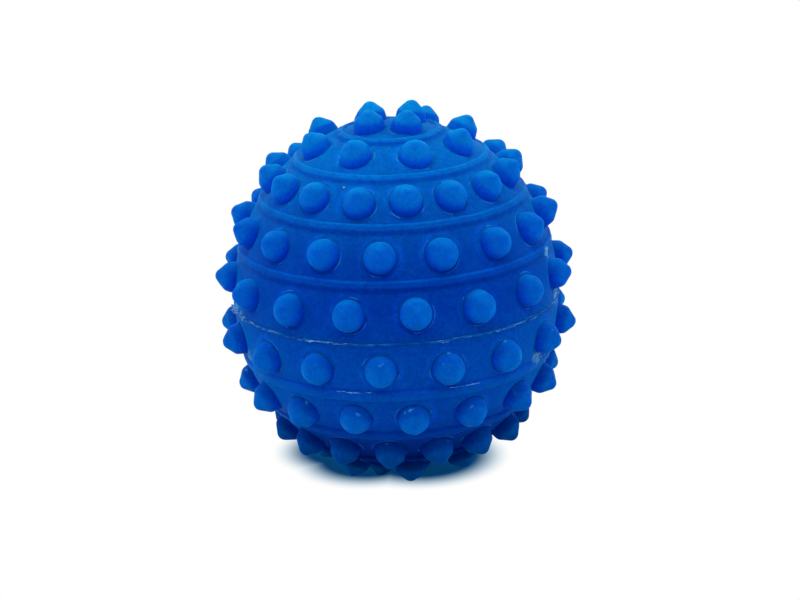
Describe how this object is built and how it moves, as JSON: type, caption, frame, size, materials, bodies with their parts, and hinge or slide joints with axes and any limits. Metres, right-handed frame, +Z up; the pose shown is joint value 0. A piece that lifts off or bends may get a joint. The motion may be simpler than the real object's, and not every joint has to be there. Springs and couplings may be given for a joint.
{
  "type": "sensory ball",
  "caption": "Hollow soft-vinyl sensory ball with raised rings, rows of solid cone-topped nubs, an equator seam and a needle valve at the bottom pole.",
  "frame": {"origin": "on the floor under the ball's middle, where the tips of the four bottom nubs stand", "axes": "+Z up along the pole axis, from the valve to the top pole; the picture was taken from the -Y side, with +X to its right"},
  "size_m": [0.099, 0.099, 0.1065],
  "materials": {
    "skin_vinyl": "satin",
    "nub_vinyl": "satin",
    "seam_flash": "matte",
    "valve_rubber": "satin",
    "core_rubber": "matte"
  },
  "bodies": {
    "root": {"upper_half_shell": "skin_vinyl", "lower_half_shell": "skin_vinyl", "seam_bead": "seam_flash", "nub_row_1_top": "nub_vinyl", "nub_row_2": "nub_vinyl", "nub_row_3": "nub_vinyl", "nub_row_4": "nub_vinyl", "nub_row_5": "nub_vinyl", "nub_row_6": "nub_vinyl", "nub_row_7": "nub_vinyl", "nub_row_8": "nub_vinyl", "nub_row_9": "nub_vinyl", "nub_row_10_bottom": "nub_vinyl", "valve_housing": "valve_rubber", "valve_core": "core_rubber"}
  },
  "joints": []
}
